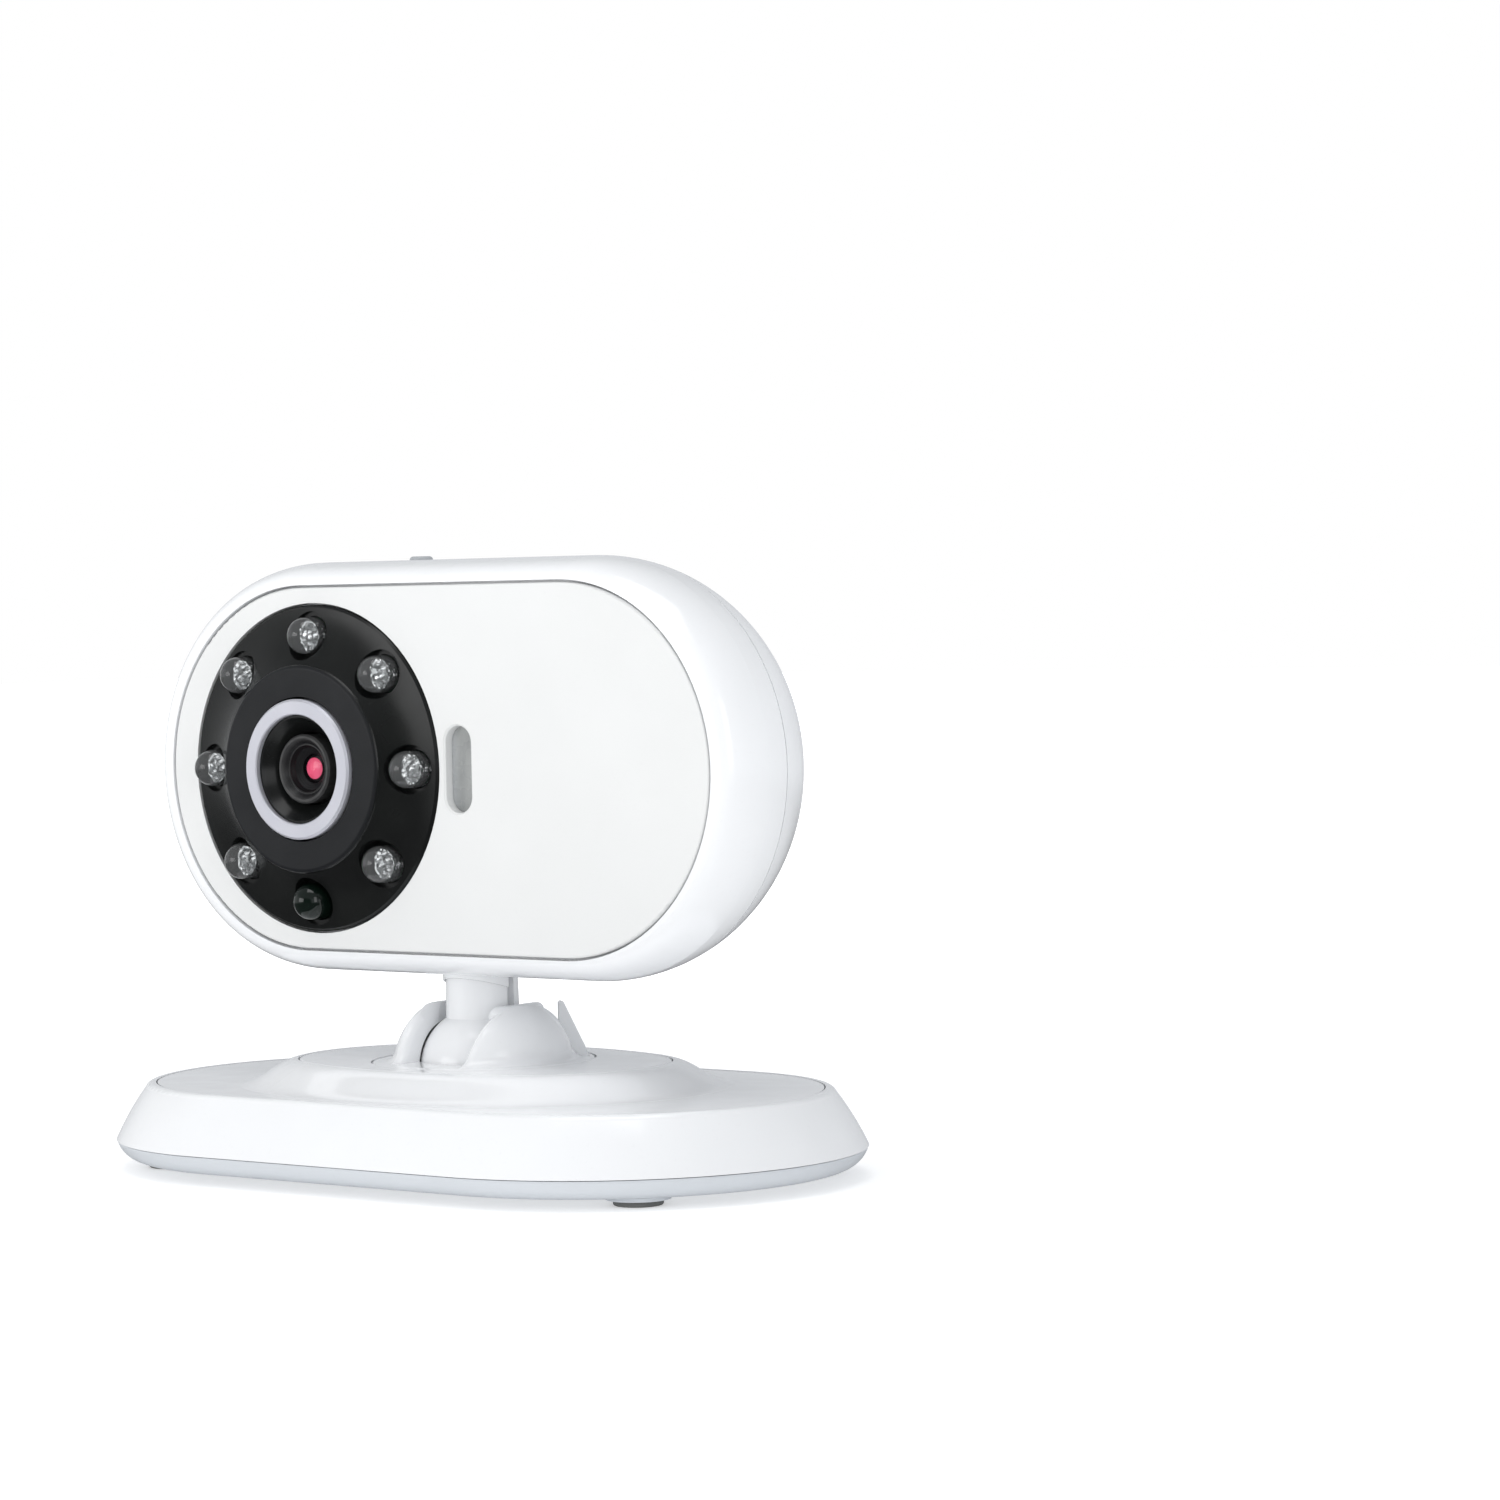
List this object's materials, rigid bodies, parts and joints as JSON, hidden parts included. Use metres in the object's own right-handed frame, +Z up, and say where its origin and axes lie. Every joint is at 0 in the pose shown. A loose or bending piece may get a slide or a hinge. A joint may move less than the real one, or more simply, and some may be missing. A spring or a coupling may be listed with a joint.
{
  "type": "baby monitor camera",
  "caption": "Table-top baby monitor camera: flat stadium-shaped head with an off-centre lens and ring of infrared lamps, on a ball-jointed neck and low oval base.",
  "frame": {"origin": "on the supporting surface, under the centre of the oval base", "axes": "+Z up; the lens looks along -Y; +X runs along the base's length, away from the lens side of the head"},
  "size_m": [0.1124, 0.0668, 0.083],
  "materials": {
    "shell_white": "gloss white ABS",
    "panel_white": "satin off-white panel",
    "base_grey": "satin cool light grey",
    "steel_plate": "zinc-plated steel plate",
    "foot_rubber": "matt dark rubber",
    "screw_steel": "zinc-plated screw",
    "spring_steel": "spring steel",
    "pad_white": "natural acetal",
    "bezel_black": "gloss black with a dark grey collar",
    "trim_silver": "satin silver ring",
    "lens_black": "matt black",
    "lens_glass": "coated lens glass",
    "board_green": "green solder mask",
    "chip_dark": "black package",
    "chip_white": "white package",
    "lamp_clear": "water-clear resin",
    "sensor_dark": "dark resin",
    "light_grey": "translucent grey light guide",
    "shield_tin": "tinned steel",
    "flex_amber": "polyimide flex",
    "button_grey": "satin mid grey",
    "speaker_dark": "dark frame and cone",
    "jack_black": "matt black"
  },
  "bodies": {
    "base": {"base_bottom": "base_grey", "base_skirt": "shell_white", "base_deck": "shell_white", "hub_cap": "shell_white", "ballast_plate": "steel_plate", "rubber_feet": "foot_rubber", "base_screws": "screw_steel", "pan_washer": "spring_steel"},
    "turret": {"socket_turret": "shell_white", "pressure_pad": "pad_white", "pad_spring": "spring_steel", "turret_retainer": "pad_white", "turret_screws": "screw_steel"},
    "head": {"stem_front": "shell_white", "stem_rear": "shell_white", "stem_screws": "screw_steel", "front_housing": "shell_white", "rear_housing": "shell_white", "front_panel": "panel_white", "housing_screws": "screw_steel", "lens_bezel": "bezel_black", "lens_trim_ring": "trim_silver", "lens_barrel": "lens_black", "lens_elements": "lens_glass", "lens_holder": "lens_black", "sensor_board": "board_green", "image_sensor": "chip_dark", "ir_leds": "lamp_clear", "photo_sensor": "sensor_dark", "led_board": "board_green", "status_light_pipe": "light_grey", "status_led": "chip_white", "main_board": "board_green", "main_board_screws": "screw_steel", "rf_shield": "shield_tin", "antenna_board": "board_green", "sensor_ribbon": "flex_amber", "tact_switch": "chip_dark", "microphone": "shield_tin", "speaker": "speaker_dark", "dc_jack": "jack_black", "switch_body": "shield_tin", "switch_screws": "screw_steel"},
    "button": {"pair_button": "button_grey"},
    "switch_knob": {"power_switch_knob": "jack_black"}
  },
  "joints": [
    {"name": "head_pan", "type": "hinge", "parent": "base", "child": "turret", "pos_m": [0, 0, 0.0136], "axis": [0, 0, 1], "range_deg": [-90, 90]},
    {"name": "head_tilt", "type": "hinge", "parent": "turret", "child": "head", "pos_m": [0, 0, 0.0136], "axis": [1, 0, 0], "range_deg": [-25, 45]},
    {"name": "pair_button_press", "type": "slide", "parent": "head", "child": "button", "axis": [0, 0, -1], "range_m": [0, 0.0005], "stiffness_N_per_m": 1000, "springref_m": -0.0004},
    {"name": "power_switch_slide", "type": "slide", "parent": "head", "child": "switch_knob", "axis": [1, 0, 0], "range_m": [0, 0.003]}
  ]
}
